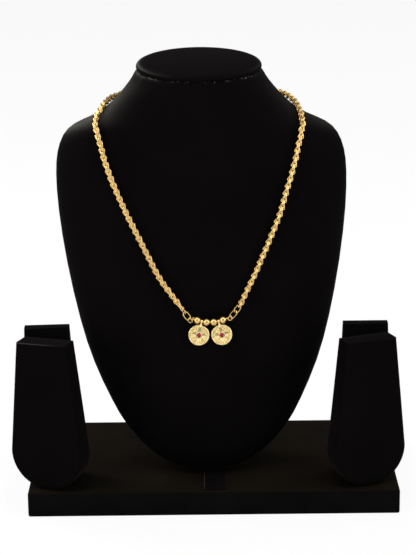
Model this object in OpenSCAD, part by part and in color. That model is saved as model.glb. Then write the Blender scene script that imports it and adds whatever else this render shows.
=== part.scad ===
// A short mangalsutra necklace on a black velvet neck bust.
// Millimetres, +Z up, the wearer's front towards -Y. The origin is the middle of the board's underside.

/* [Chain] */
// Outside width of a chain link
link_w = 4.0; // [3.8:0.1:4.1]
// Diameter of the wire that the links are made of
link_wire = 0.7; // [0.6:0.05:0.75]
// Distance from one link to the next along the chain
link_pitch = 2.27; // [2.2:0.01:2.35]
// Clear height of the chain's middle above the velvet
chain_lift = 2.3; // [2.2:0.1:3]

/* [Pendants] */
// Diameter of a vati, the round gold cup
vati_d = 13.1; // [11:0.1:13.4]
// Thickness of a vati at its rim
vati_h = 1.8; // [1.4:0.1:2.2]
// Diameter of the red stone
stone_d = 2.6; // [2:0.1:3]
// Diameter of a gold ball
bead_d = 4.5; // [4:0.1:4.5]
// Length of a gold ball along its wire, between its flat ends
bead_l = 3.9; // [3.4:0.1:4]
// Diameter of the wire that the balls and the cups are threaded on
bead_wire_d = 0.8; // [0.6:0.05:0.85]
// Radius of the curve that this wire takes
bead_wire_r = 24; // [23:0.5:26]

/* [Display stand] */
// Width of the board
base_w = 233; // [220:1:240]
// Depth of the board, front to back
base_d = 127; // [120:1:132]
// Thickness of the board
base_h = 16; // [12:1:16]
// Height of a tower's panel above the table
tower_h = 111.5; // [100:0.5:120]
// Width of a tower's panel at its widest
tower_w = 48; // [44:0.5:50]
// Width of a tower's panel at its top
tower_top_w = 33; // [28:0.5:36]
// Thickness of a tower's panel
tower_t = 15; // [12:1:18]

/* [Hidden] */

velvet = "#141214";
board_black = "#1d1712";
gold = "#e2b24a";
pale_gold = "#e6cf72";
ruby = "#b01030";

// Air left between pieces that rest on each other
air = 0.2;
round_fn = 48;
wire_fn = 16;

// The middle of the bust's foot, and how far the bust leans to the left per mm of height
bust_x = -3.4;
bust_lean = 0.0127;
// The bust, from its foot to the cut of its neck.
// Each row is one ring of the bust. Columns: height, half width, y of the side seam,
// depth in front of the seam, depth behind it, rise towards the back per mm.
bust_rings = [
    [16.2, 10, -25, 5, 44, 0],
    [20, 21.5, -27, 8, 47, 0],
    [30, 37.6, -26, 13, 48, 0],
    [46, 51.9, -23, 19, 47, 0],
    [62, 60.5, -20, 23, 45, 0],
    [87, 71.9, -15.7, 27.5, 42, 0],
    [113, 79.4, -11.4, 30, 39, 0],
    [150, 87, -5, 31, 35, 0],
    [185, 91.5, 1, 31, 34, 0],
    [207, 92.1, 4.6, 30, 33, 0],
    [219, 91, 6.8, 29.5, 33, 0],
    [230, 87, 8.6, 29, 33, 0],
    [236, 80.5, 9.6, 28.6, 33, 0],
    [240, 69.5, 10.4, 28.4, 33, 0],
    [243, 63.5, 10.8, 28.3, 33, 0],
    [248, 56.8, 11.7, 28.1, 32, 0],
    [254, 50.6, 12.8, 28, 31, 0],
    [262, 43.6, 14.2, 28, 30, 0.06],
    [269, 39.4, 15.4, 28, 29.2, 0.14],
    [272.6, 38.5, 16, 28, 29.2, 0.18],
];
bust_sides = 40;
function bust_column(k) = [for (r = bust_rings) [r[0], r[k]]];
bust_half = bust_column(1);
bust_seam = bust_column(2);
bust_front = bust_column(3);
bust_back = bust_column(4);
bust_rise = bust_column(5);
function bust_middle(z) = bust_x - bust_lean * (z - bust_rings[0][0]);

// A point on the velvet: t is the angle round the bust, -90 at the front, 90 at the back
function skin(t, z) =
    let (depth = sin(t) * (sin(t) < 0 ? lookup(z, bust_front) : lookup(z, bust_back)))
    [bust_middle(z) + lookup(z, bust_half) * cos(t), lookup(z, bust_seam) + depth,
     z + depth * lookup(z, bust_rise)];
function unit(v) = v / norm(v);
// The velvet's slope is taken over this much of a turn and this much height
feel_t = 2;
feel_z = 4;
function outward(t, z) = unit(cross(skin(t + feel_t, z) - skin(t - feel_t, z),
                                    skin(t, z + feel_z) - skin(t, z - feel_z)));
function above(t, z, lift) = skin(t, z) + lift * outward(t, z);

// The way that each half of the chain takes over the bust, from the pendants to the clasp.
// Columns: angle round the bust, height.
left_way = [[-99.7, 129.1], [-104.8, 139.5], [-108.8, 149], [-114.4, 167], [-120, 185], [-125.7, 203],
            [-131.3, 220.5], [-135.4, 229.3], [-141.8, 235.3], [-151.5, 238.8], [-164, 242.2], [-171, 245],
            [-180, 247.4], [-194, 249.2], [-215, 250.2], [-240, 250], [-262, 249]];
right_way = [[-74.45, 130.3], [-71.7, 139.2], [-68.8, 148.4], [-63.7, 166], [-58.8, 184], [-54.7, 202],
             [-49.8, 219.4], [-46.2, 228], [-41, 234.3], [-33, 238.1], [-21, 241.5], [-12, 244.2],
             [-2, 246.6], [12, 249.2], [28, 250.6], [50, 250.6], [82, 249]];
way_steps = 8;

function curve(p0, p1, p2, p3, u) =
    0.5 * (2 * p1 + (p2 - p0) * u + (2 * p0 - 5 * p1 + 4 * p2 - p3) * u * u
           + (3 * p1 - p0 - 3 * p2 + p3) * u * u * u);
function row(way, i) = way[max(0, min(len(way) - 1, i))];
function fine_way(way) =
    concat([for (i = [0:len(way) - 2], k = [0:way_steps - 1])
                curve(row(way, i - 1), row(way, i), row(way, i + 1), row(way, i + 2), k / way_steps)],
           [way[len(way) - 1]]);
function lengths(p) =
    [for (i = 0, s = 0; i < len(p); i = i + 1, s = s + (i < len(p) ? norm(p[i] - p[i - 1]) : 0)) s];

// Links at an even pitch along a way: each is [middle, direction, outward normal]
function link_places(way) =
    let (fine = fine_way(way),
         mids = [for (q = fine) above(q[0], q[1], chain_lift)],
         outs = [for (q = fine) outward(q[0], q[1])],
         far = lengths(mids),
         total = far[len(far) - 1],
         n = round(total / link_pitch),
         index = [for (i = [0:len(far) - 1]) [far[i], i]])
    [for (k = [0:n])
        let (f = min(lookup(total * k / n, index), len(mids) - 1.001),
             i = floor(f),
             a = unit(mids[i + 1] - mids[i]),
             o = outs[i] * (1 - f + i) + outs[i + 1] * (f - i))
        [mids[i] * (1 - f + i) + mids[i + 1] * (f - i), a, unit(o - a * (o * a))]];

// The pendants hang on a flat patch of the chest.
// Its own axes are X to the right, Y up along the velvet and Z outwards.
function front_angle(x, z) = -90 + asin((x - bust_middle(z)) / lookup(z, bust_half));
function chest(x, z) = skin(front_angle(x, z), z);
chest_x = -1.2;
chest_z = 119.7;
// How far the patch reaches above its middle, below it and to each side
patch_up = 4;
patch_down = 10;
patch_side = 14;
chest_up = unit(chest(chest_x, chest_z + patch_up) - chest(chest_x, chest_z - patch_down));
chest_right = unit(chest(chest_x + patch_side, chest_z) - chest(chest_x - patch_side, chest_z));
chest_out = unit(cross(chest_right, chest_up));
chest_tall = cross(chest_out, chest_right);
module on_chest(lift)
    multmatrix([for (i = [0:2]) [chest_right[i], chest_tall[i], chest_out[i],
                                 chest(chest_x, chest_z)[i] + lift * chest_out[i]]])
        children();

// The wire of the balls: a curve whose lowest point is at wire_low on the patch
wire_lift = 2.4;
wire_low = 0.4;
wire_play = 0.4;
bead_hole_d = bead_wire_d + wire_play;
bead_angles = [-19.7, -5.3, 5.1, 19.4];

// The eye at each end of the wire, soldered to it by a short neck.
// Columns: x, y, radius, turn, roll, angle round the eye where the neck joins it, angle where the wire ends
wire_eyes = [
    [-12.54, 1.71, 1.65, 124.5, -40, -90, -27.5],
    [12.45, 2.72, 1.45, 50.5, 30, 128, 25.5],
];
eye_wire = 0.65;
// The collar between the left eye and the first ball
collar_angle = -26;
collar_d = 2.5;
collar_w = 0.8;
neck_d = 1.2;
neck_fn = 24;

// Rings between the wire and the chain.
// Places have the columns x, y and lift on the patch, turn, roll about the length.
// Sizes have the columns half length and half width to the middle of the wire, wire.
oval_left_place = [-14.48, 4.55, 2.1, 124.5, 20];
end_left_place = [-16.48, 7.5, 1.75, 124.5, -45];
oval_a_place = [14.5, 5.2, 2.1, 51, -30];
oval_b_place = [17.05, 8.35, 1.7, 53, 30];
oval_size = [2.65, 1.65, 0.65];
end_size = [1.95, 1, 0.7];
oval_b_size = [2.45, 1.9, 0.7];
// How steeply these rings follow the chest as it falls back
ring_dip = 6;
chain_roll_left = 45;
chain_roll_right = 120;

// One round wire ring, its length along X, lying flat about the origin
module ring(size) {
    half_width = size[1];
    wire = size[2];
    straight = size[0] - half_width;
    for (side = [-1, 1])
        translate([side * straight, 0, 0])
            rotate([0, 0, side > 0 ? -90 : 90])
                rotate_extrude(angle = 180, $fn = round_fn)
                    translate([half_width, 0])
                        circle(d = wire, $fn = wire_fn);
    for (side = [-1, 1])
        translate([-straight, side * half_width, 0])
            rotate([0, 90, 0])
                cylinder(d = wire, h = 2 * straight, $fn = wire_fn);
}

module round_ring(radius, wire)
    rotate_extrude($fn = round_fn)
        translate([radius, 0])
            circle(d = wire, $fn = wire_fn);

// Puts a flat ring on the patch: x, y, lift, turn and roll as in the table above
module place_ring(p)
    on_chest(p[2])
        translate([p[0], p[1], 0])
            rotate([0, 0, p[3]])
                rotate([0, ring_dip, 0])
                    rotate([p[4], 0, 0])
                        children();

// Links of one half of the chain, each turned a quarter from the last
module links(way, first_roll) {
    places = link_places(way);
    for (k = [0:len(places) - 1])
        let (c = places[k][0], a = places[k][1], o = places[k][2], b = cross(o, a))
        multmatrix([for (i = [0:2]) [a[i], b[i], o[i], c[i]]])
            rotate([first_roll + 90 * (k % 2), 0, 0])
                round_ring((link_w - link_wire) / 2, link_wire);
}

module chain_left() color(gold) links(left_way, chain_roll_left);
module chain_right() color(gold) links(right_way, chain_roll_right);

module end_link_left() color(gold) place_ring(end_left_place) ring(end_size);
module oval_ring_left() color(gold) place_ring(oval_left_place) ring(oval_size);
module oval_ring_right_a() color(gold) place_ring(oval_a_place) ring(oval_size);
module oval_ring_right_b() color(gold) place_ring(oval_b_place) ring(oval_b_size);

// A place on the curve of the bead wire, by its angle from the lowest point
module on_wire(angle)
    on_chest(wire_lift)
        translate([0, wire_low + bead_wire_r, 0])
            rotate([0, 0, angle])
                translate([0, -bead_wire_r, 0])
                    children();

function on_curve(angle) =
    [bead_wire_r * sin(angle), wire_low + bead_wire_r * (1 - cos(angle)), 0];
// The place on an eye where its neck joins it
function on_eye(e) =
    let (turn = e[3], roll = e[4], angle = e[5])
    [e[0], e[1], 0]
    + e[2] * [cos(turn) * cos(angle) - sin(turn) * cos(roll) * sin(angle),
              sin(turn) * cos(angle) + cos(turn) * cos(roll) * sin(angle),
              sin(roll) * sin(angle)];

// A short straight neck from p to q, its ends rounded
module neck(p, q)
    let (v = q - p)
    translate(p)
        rotate([0, acos(v[2] / norm(v)), atan2(v[1], v[0])])
            cylinder(d = neck_d, h = norm(v), $fn = neck_fn);

module bead_wire() color(gold) {
    on_chest(wire_lift) {
        translate([0, wire_low + bead_wire_r, 0])
            rotate([0, 0, -90 + wire_eyes[0][6]])
                rotate_extrude(angle = wire_eyes[1][6] - wire_eyes[0][6], $fn = round_fn)
                    translate([bead_wire_r, 0])
                        circle(d = bead_wire_d, $fn = wire_fn);
        for (e = wire_eyes) {
            translate([e[0], e[1], 0])
                rotate([0, 0, e[3]])
                    rotate([e[4], 0, 0])
                        round_ring(e[2], eye_wire);
            neck(on_curve(e[6]), on_eye(e));
            translate(on_curve(e[6]))
                sphere(d = neck_d, $fn = neck_fn);
        }
    }
    on_wire(collar_angle)
        rotate([0, 90, 0])
            cylinder(d = collar_d, h = collar_w, center = true, $fn = neck_fn);
}

module bead(angle)
    color(gold)
        on_wire(angle)
            rotate([0, 90, 0])
                difference() {
                    intersection() {
                        sphere(d = bead_d, $fn = round_fn);
                        cylinder(d = 2 * bead_d, h = bead_l, center = true, $fn = round_fn);
                    }
                    cylinder(d = bead_hole_d, h = bead_d + 1, center = true, $fn = neck_fn);
                }

module bead_1() bead(bead_angles[0]);
module bead_2() bead(bead_angles[1]);
module bead_3() bead(bead_angles[2]);
module bead_4() bead(bead_angles[3]);

// The vatis lie under the wire, each turned about its own middle so that its bail meets it
vati_x = 7.1;
vati_y = -7.7;
vati_lift = 0.5;
vati_turn = 12.1;
module at_vati(side)
    let (way = side == 0 ? -1 : 1)
    on_chest(vati_lift)
        translate([way * vati_x, vati_y, 0])
            rotate([0, 0, way * vati_turn])
                children();

// Heights on a vati above its back: the floor inside the rim, the star, the bezel, the stone's seat
field_h = 1.15;
star_h = 1.5;
bezel_h = 2.3;
seat_h = 1.2;
rim_w = 0.8;
rim_slope = 0.55;
rim_ease = 0.4;
bezel_r = 1.95;
star_out = 4.7;
star_in = 2.1;
// How hollow the star's sides are, and its points in degrees from one to the next
star_curve = 2.5;
star_step = 7.5;

// The bail is a short tube on a sloping stem
bail_reach = 8.85;
bail_d = 2.5;
bail_w = 1.3;
stem_d = 1.3;
stem_root_d = 2.2;
stem_l = 2.1;
stem_root = [0, 5.9, 1.1];
stem_slope = 24;

// A star of four points with hollow sides
module star()
    polygon([for (a = [0:star_step:360 - star_step])
                (star_in + (star_out - star_in) * pow(abs(cos(2 * a)), star_curve)) * [sin(a), cos(a)]]);

// Half of a cup's section: back, rim and the floor inside it
module cup_profile()
    let (r = vati_d / 2)
    polygon([[0, 0], [r - rim_ease, 0], [r, rim_ease], [r, vati_h - rim_ease], [r - rim_ease, vati_h],
             [r - rim_w, vati_h], [r - rim_w - rim_slope, field_h], [0, field_h]]);

module setting()
    difference() {
        union() {
            rotate_extrude($fn = round_fn)
                cup_profile();
            linear_extrude(star_h)
                star();
            cylinder(r = bezel_r, h = bezel_h, $fn = round_fn);
        }
        translate([0, 0, seat_h])
            cylinder(d = stone_d + air, h = bezel_h, $fn = round_fn);
    }

// A tube across the vati where the wire goes through
module bail_tube(d, length)
    translate([0, bail_reach, wire_lift - vati_lift])
        rotate([0, 90, 0])
            cylinder(d = d, h = length, center = true, $fn = round_fn);

module bail()
    difference() {
        union() {
            bail_tube(bail_d, bail_w);
            translate(stem_root)
                rotate([stem_slope - 90, 0, 0])
                    cylinder(d1 = stem_root_d, d2 = stem_d, h = stem_l, $fn = neck_fn);
        }
        bail_tube(bead_wire_d + wire_play, 2 * bail_w);
    }

module vati(side)
    color(pale_gold)
        at_vati(side) {
            setting();
            bail();
        }
module vati_left() vati(0);
module vati_right() vati(1);

// A round cut stone with 12 sides: a flat table, crown facets above the girdle, a pavilion below
facets = 12;
culet_d = 0.8;
pavilion_h = 0.7;
girdle_h = 0.25;
crown_h = 0.45;
table_share = 0.58;
stone_gap = 0.15;
stone_foot = seat_h + stone_gap;
module stone(side)
    color(ruby)
        at_vati(side)
            translate([0, 0, stone_foot]) {
                cylinder(d1 = culet_d, d2 = stone_d, h = pavilion_h, $fn = facets);
                translate([0, 0, pavilion_h])
                    cylinder(d = stone_d, h = girdle_h, $fn = facets);
                translate([0, 0, pavilion_h + girdle_h])
                    cylinder(d1 = stone_d, d2 = stone_d * table_share, h = crown_h, $fn = facets);
            }
module stone_left() stone(0);
module stone_right() stone(1);

// The clasp at the back of the neck, with an eye at each end
clasp_z = 249;
clasp_body = 8;
clasp_d = 3.4;
clasp_lift = 2;
clasp_eye_r = 1.5;
clasp_eye_wire = 0.8;
clasp_neck = 0.3;
clasp_eye_x = clasp_body / 2 + clasp_eye_r + clasp_neck;
// Each eye stands square to the last link that it holds
function last_roll(way, first_roll) = first_roll + 90 * ((len(link_places(way)) - 1) % 2);
clasp_eye_rolls = [90 + last_roll(right_way, chain_roll_right), 90 - last_roll(left_way, chain_roll_left)];
module back_clasp() color(gold)
    let (out = outward(90, clasp_z), tall = unit(cross(out, [-1, 0, 0])), c = above(90, clasp_z, clasp_lift))
    multmatrix([for (i = [0:2]) [[-1, 0, 0][i], tall[i], out[i], c[i]]]) {
        rotate([0, 90, 0])
            cylinder(d = clasp_d, h = clasp_body, center = true, $fn = round_fn);
        for (side = [-1, 1])
            translate([side * clasp_eye_x, 0, 0])
                rotate([clasp_eye_rolls[side > 0 ? 1 : 0], 0, 0])
                    round_ring(clasp_eye_r, clasp_eye_wire);
    }

// The bust: rings of points joined into one closed skin, with a middle point under its foot
// and one on the neck's cut
foot_middle = [bust_x, 0, bust_rings[0][0]];
crown_middle = [bust_middle(274.2), 16, 274.2];
module neck_bust() color(velvet) {
    points = concat([for (r = bust_rings, k = [0:bust_sides - 1]) skin(360 * k / bust_sides, r[0])],
                    [foot_middle, crown_middle]);
    rings = len(bust_rings);
    walls = [for (i = [0:rings - 2], k = [0:bust_sides - 1])
                let (a = i * bust_sides + k, b = i * bust_sides + (k + 1) % bust_sides)
                each [[a, a + bust_sides, b], [b, a + bust_sides, b + bust_sides]]];
    foot = [for (k = [0:bust_sides - 1]) [k, (k + 1) % bust_sides, rings * bust_sides]];
    last = (rings - 1) * bust_sides;
    crown = [for (k = [0:bust_sides - 1]) [last + (k + 1) % bust_sides, last + k, rings * bust_sides + 1]];
    polyhedron(points, concat(walls, foot, crown));
}

// The board, its upper edges eased
ease = 2.5;
module board_profile(width)
    polygon([[-width / 2, 0], [width / 2, 0], [width / 2, base_h - ease], [width / 2 - ease, base_h],
             [-width / 2 + ease, base_h], [-width / 2, base_h - ease]]);
module base_board() color(board_black)
    intersection() {
        rotate([90, 0, 0])
            linear_extrude(base_d + 2, center = true)
                board_profile(base_w);
        rotate([90, 0, 90])
            linear_extrude(base_w + 2, center = true)
                board_profile(base_d);
    }

// The tab that runs from the bust's foot to the front edge
tab_x = 1;
tab_w = 14;
tab_t = 0.8;
tab_lift = 0.1;
// Where the tab ends in front of the bust's foot
tab_back = -31.5;
module front_tab() color(velvet)
    translate([tab_x - tab_w / 2, -base_d / 2 + ease, base_h + tab_lift])
        cube([tab_w, base_d / 2 - ease + tab_back, tab_t]);

// The towers, left and right: a panel and, behind it, a block.
// Columns: x of the face's middle, y of it from the board's front edge, turn about the upright,
// lean to the left
panel_places = [[-104.5, 5, -21, 1.2], [99, 6.5, 22, 0]];
block_places = [[-101.5, 13 + tower_t, 0, 1.2], [96.2, 15 + tower_t, 0, 0]];
tower_round = 24;
tower_belly = base_h + tower_round;
block_top_w = 28;
block_foot_w = 36;
block_t = 8;
block_rise = 4;
foot_z = base_h + air;

// Tilts a flat outline about the foot of its tower and cuts it level there
module on_foot(lean)
    intersection() {
        translate([0, foot_z])
            rotate(lean)
                translate([0, -foot_z])
                    children();
        translate([-tower_w, foot_z])
            square([2 * tower_w, 2 * tower_h]);
    }
module panel_outline()
    polygon(concat([[-tower_top_w / 2, tower_h], [-tower_w / 2, tower_belly]],
                   [for (a = [190:10:350]) [tower_w / 2 * cos(a), tower_belly + tower_round * sin(a)]],
                   [[tower_w / 2, tower_belly], [tower_top_w / 2, tower_h]]));
module block_outline()
    polygon([[-block_foot_w / 2, base_h], [block_foot_w / 2, base_h],
             [block_top_w / 2, tower_h + block_rise], [-block_top_w / 2, tower_h + block_rise]]);
module tower_slab(place, thick)
    color(velvet)
        translate([place[0], -base_d / 2 + place[1], 0])
            rotate([0, 0, place[2]])
                translate([0, thick, 0])
                    rotate([90, 0, 0])
                        linear_extrude(thick)
                            on_foot(place[3])
                                children();
module tower_left_panel() tower_slab(panel_places[0], tower_t) panel_outline();
module tower_right_panel() tower_slab(panel_places[1], tower_t) panel_outline();
module tower_left_block() tower_slab(block_places[0], block_t) block_outline();
module tower_right_block() tower_slab(block_places[1], block_t) block_outline();

base_board();
neck_bust();
front_tab();
tower_left_panel();
tower_left_block();
tower_right_panel();
tower_right_block();
chain_left();
chain_right();
end_link_left();
oval_ring_left();
oval_ring_right_a();
oval_ring_right_b();
bead_wire();
bead_1();
bead_2();
bead_3();
bead_4();
vati_left();
vati_right();
stone_left();
stone_right();
back_clasp();
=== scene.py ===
"""A short gold mangalsutra lying on a black velvet neck bust, between two earring towers.

Tables are in millimetres and every made piece is in metres. The front looks towards -Y, +Z is up.
"""

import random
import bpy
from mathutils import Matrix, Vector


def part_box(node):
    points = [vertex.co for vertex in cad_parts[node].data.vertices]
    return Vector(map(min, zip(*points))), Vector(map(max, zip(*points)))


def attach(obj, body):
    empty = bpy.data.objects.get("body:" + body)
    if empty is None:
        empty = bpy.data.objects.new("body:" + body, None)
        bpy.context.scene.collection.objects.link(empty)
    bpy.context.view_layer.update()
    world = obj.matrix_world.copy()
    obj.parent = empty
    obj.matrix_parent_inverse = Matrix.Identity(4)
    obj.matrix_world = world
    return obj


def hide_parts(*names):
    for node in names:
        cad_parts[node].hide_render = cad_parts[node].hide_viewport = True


bl_info = {
    "name": "Mangalsutra on a Neck Bust",
    "version": (1, 0, 0),
    "blender": (4, 5, 0),
    "location": "3D View > Sidebar > Mangalsutra",
    "description": "Builds the necklace, its velvet stand and a plain studio",
    "category": "Object",
}

from math import asin, copysign, cos, degrees, floor, pi, radians, sin

import bmesh
import bpy
from bpy.props import FloatProperty, FloatVectorProperty, IntProperty, PointerProperty
from mathutils import Matrix, Vector

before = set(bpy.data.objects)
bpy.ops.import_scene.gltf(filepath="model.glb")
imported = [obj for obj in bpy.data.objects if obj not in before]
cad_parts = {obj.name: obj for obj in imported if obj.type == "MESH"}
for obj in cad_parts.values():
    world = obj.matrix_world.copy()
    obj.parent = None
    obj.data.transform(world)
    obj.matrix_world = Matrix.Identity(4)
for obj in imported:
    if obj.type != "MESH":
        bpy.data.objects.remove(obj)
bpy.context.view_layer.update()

MM = 0.001
TOUCH = 0.01 * MM
MERGE = 0.001 * MM
BODY = "root"
SIDES = {"left": -1, "right": 1}
FULL_TURN = 2 * pi
QUARTER = pi / 2

# The bust: x of its middle at the foot, its lean to the left per mm of height, and a row for each ring.
# Columns: height, half width, y of the side seam, depth in front, depth behind, rise to the back per mm
BUST_X = -3.4
BUST_LEAN = 0.0127
BUST_SEGMENTS = 72
BUST_RINGS = (
    (16.2, 10, -25, 5, 44, 0),
    (20, 21.5, -27, 8, 47, 0),
    (30, 37.6, -26, 13, 48, 0),
    (46, 51.9, -23, 19, 47, 0),
    (62, 60.5, -20, 23, 45, 0),
    (87, 71.9, -15.7, 27.5, 42, 0),
    (113, 79.4, -11.4, 30, 39, 0),
    (150, 87, -5, 31, 35, 0),
    (185, 91.5, 1, 31, 34, 0),
    (207, 92.1, 4.6, 30, 33, 0),
    (219, 91, 6.8, 29.5, 33, 0),
    (230, 87, 8.6, 29, 33, 0),
    (236, 80.5, 9.6, 28.6, 33, 0),
    (240, 69.5, 10.4, 28.4, 33, 0),
    (243, 63.5, 10.8, 28.3, 33, 0),
    (248, 56.8, 11.7, 28.1, 32, 0),
    (254, 50.6, 12.8, 28, 31, 0),
    (262, 43.6, 14.2, 28, 30, 0.06),
    (269, 39.4, 15.4, 28, 29.2, 0.14),
    (272.6, 38.5, 16, 28, 29.2, 0.18),
)
# The padded lip round the neck's cut and the low crown inside it, in the same columns
LIP_RINGS = (
    (266, 41.2, 14.9, 28.1, 29.6, 0.11),
    (268, 40, 15.2, 27.9, 29.3, 0.13),
    (268.8, 38.8, 15.4, 27, 28.6, 0.14),
    (269.5, 38.8, 15.5, 27, 28.6, 0.15),
    (270.2, 39.6, 15.6, 28.3, 29.6, 0.16),
    (271.6, 39.7, 15.8, 28.6, 29.9, 0.17),
    (272.8, 38.9, 16, 28, 29.4, 0.18),
    (273.3, 37.2, 16, 26.6, 28, 0.18),
    (273.5, 34, 16, 24, 25.2, 0.18),
    (273.9, 24, 16, 17, 17.8, 0.18),
    (274.2, 12, 16, 8.5, 8.9, 0.18),
)
LIP_FROM = 262
# Depth of the wrinkles by the height of their ring, and how many run round it, with a start in degrees
WRINKLES = {266: 0.1, 268: 0.16, 268.8: 0.12}
WRINKLE_WAVES = ((19, 0), (31, 40))

# The way of each half of the chain, from the pendants to the clasp. Columns: angle round the bust, height
LEFT_WAY = (
    (-99.7, 129.1), (-104.8, 139.5), (-108.8, 149), (-114.4, 167), (-120, 185), (-125.7, 203),
    (-131.3, 220.5), (-135.4, 229.3), (-141.8, 235.3), (-151.5, 238.8), (-164, 242.2), (-171, 245),
    (-180, 247.4), (-194, 249.2), (-215, 250.2), (-240, 250), (-262, 249),
)
RIGHT_WAY = (
    (-74.45, 130.3), (-71.7, 139.2), (-68.8, 148.4), (-63.7, 166), (-58.8, 184), (-54.7, 202),
    (-49.8, 219.4), (-46.2, 228), (-41, 234.3), (-33, 238.1), (-21, 241.5), (-12, 244.2),
    (-2, 246.6), (12, 249.2), (28, 250.6), (50, 250.6), (82, 249),
)
WAY_STEPS = 8
# How far round and up the velvet is felt to tell which way it looks
FEEL_TURN = 2
FEEL_HEIGHT = 4

# One strand of a folded link, from its fold to the tip of its eye. Columns: along, depth, half width
LINK_STRAND = (
    (0.15, 0, 0.43), (0.05, 0.9, 0.43), (0.12, 1.28, 0.43), (0.5, 1.5, 0.44), (1.15, 1.42, 0.44),
    (1.95, 1.12, 0.43), (2.7, 0.84, 0.43), (3.4, 0.64, 0.46), (3.85, 0.56, 0.62), (4.3, 0.5, 0.84),
    (4.8, 0.48, 0.76), (5.15, 0.48, 0.42), (5.25, 0.48, 0),
)
# How far a link starts before its place, and the way that the flat of the chain looks
LINK_END = 1.65
CHAIN_FACE = Vector((0, -0.96, 0.28))

# The chest patch that the pendants hang on, and how far up, down and sideways its slope is taken
CHEST_X = -1.2
CHEST_Z = 119.7
PATCH_UP = 4
PATCH_DOWN = 10
PATCH_SIDE = 14

# The wire of the balls, its collar and the balls on it.
# Columns of its eyes: x, y, radius, turn, roll, angle where the neck joins, angle where the wire ends
WIRE_LIFT = 2.4
WIRE_LOW = 0.4
WIRE_STEPS = 24
WIRE_EYES = (
    (-12.54, 1.71, 1.65, 124.5, -40, -90, -27.5),
    (12.45, 2.72, 1.45, 50.5, 30, 128, 25.5),
)
EYE_WIRE = 0.65
NECK_D = 1.2
COLLAR = ((0.3, -0.4), (1.1, -0.4), (1.25, -0.25), (1.25, 0.25), (1.1, 0.4), (0.3, 0.4))
COLLAR_ANGLE = -26
BEAD_ANGLES = (-19.7, -5.3, 5.1, 19.4)
BEAD_HOLE = 0.6

# Rings between the wire and the chain.
# Columns: x, y and lift on the patch, turn, roll, half length, half width, wire
RINGS = {
    "oval_ring_left": (-14.48, 4.55, 2.1, 124.5, 20, 2.65, 1.65, 0.65),
    "end_link_left": (-16.48, 7.5, 1.75, 124.5, -45, 1.95, 1, 0.7),
    "oval_ring_right_a": (14.5, 5.2, 2.1, 51, -30, 2.65, 1.65, 0.65),
    "oval_ring_right_b": (17.05, 8.35, 1.7, 53, 30, 2.45, 1.9, 0.7),
}
RING_DIP = 6

# The vatis: x, y and lift on the patch, their turn, and heights and radii of the cup
VATI_PLACE = (7.1, -7.7, 0.5)
VATI_TURN = 12.1
RIM_R = 0.45
FIELD_H = 1.15
BEZEL_H = 2.3
BEZEL_R = 1.95
SEAT_H = 1.2
CLAW_D = 0.56
CLAW_OUT = 0.05
STONE_GAP = 0.1
STAR_STEPS = 48
STAR_OUT = 4.7
STAR_IN = 2.1
STAR_CURVE = 2.5
STAR_FOOT = 1.2
STAR_SINK = 0.3
STAR_TOP = 1.85
# Sections of the turned bail and stem. Columns: radius, place along the axis
BAIL = (
    (0.6, -0.65), (1.05, -0.65), (1.25, -0.45), (1.14, -0.2),
    (1.14, 0.2), (1.25, 0.45), (1.05, 0.65), (0.6, 0.65),
)
BAIL_REACH = 8.85
STEM = ((0, -0.3), (1.15, -0.3), (1.1, 0), (0.85, 1), (0.7, 1.7), (0.65, 2.1), (0, 2.1))
STEM_ROOT = (0, 5.9, 1.1)
STEM_SLOPE = 24
# Granules: the outer ring's distance from the edge, the least radius of a ring, the room along and
# between rings as a share of a granule, the room to the star, and how far they vary
GRAIN_EDGE = 1.25
GRAIN_END = 2.2
GRAIN_ALONG = 1.04
GRAIN_ACROSS = 0.92
GRAIN_CLEAR = 0.15
GRAIN_SIZES = (0.85, 1.15)
GRAIN_RISE = 0.12
GRAIN_TIP = 40

# The stones: the culet, then a row for each ring. Columns: share of the radius, height, turn in facets
STONE_FOOT = 1.35
FACETS = 12
CULET_R = 0.4
STONE_RINGS = ((1, 0.7, 0), (1, 0.95, 0), (0.82, 1.22, 0.5), (0.56, 1.4, 0))

# The clasp on the nape: half section of its barrel, and its eyes
CLASP_Z = 249
CLASP_LIFT = 2
BARREL = (
    (0, -4), (1.2, -4), (1.6, -3.7), (1.7, -3.3), (1.7, -0.4), (1.5, -0.2),
    (1.5, 0.2), (1.7, 0.4), (1.7, 3.3), (1.6, 3.7), (1.2, 4), (0, 4),
)
CLASP_EYE_X = 5.8
CLASP_EYE_R = 1.5
CLASP_EYE_WIRE = 0.8

# The stand's board, tab and towers, with the easing of their edges, in front and behind.
# Columns of the panels and blocks: x of the face's middle, y of it from the board's front edge,
# turn about the upright, lean to the left
FOOT_Z = 16.2
BOARD_EASE = 1.25
TAB_EASE = 0.3
PANELS = {"left": (-104.5, 5, -21, 1.2), "right": (99, 6.5, 22, 0)}
PANEL_EASES = (2.2, 0.9)
BLOCKS = {"left": (-101.5, 28, 0, 1.2), "right": (96.2, 30, 0, 0)}
BLOCK_EASES = (0.9, 0.9)
TOWER_ROUND = 24
TOWER_BELLY = 40
TOWER_STEP = 5
BLOCK_TOP_W = 28
BLOCK_FOOT_W = 36
BLOCK_T = 8
BLOCK_RISE = 4

# Warm dust with painted top light on the board's top, painted sheen on the bust's slopes, and the thread of
# the seam under its lip
BOARD_DUST_AND_LIGHT = (0.0095, 0.0065, 0.0035)
PAINTED_SHEEN = (0.055, 0.052, 0.046)
STITCH = (0.07, 0.068, 0.06)
# Height of the seam and its rise to the back per mm
SEAM_Z = 266.6
SEAM_RISE = 0.14

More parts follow.
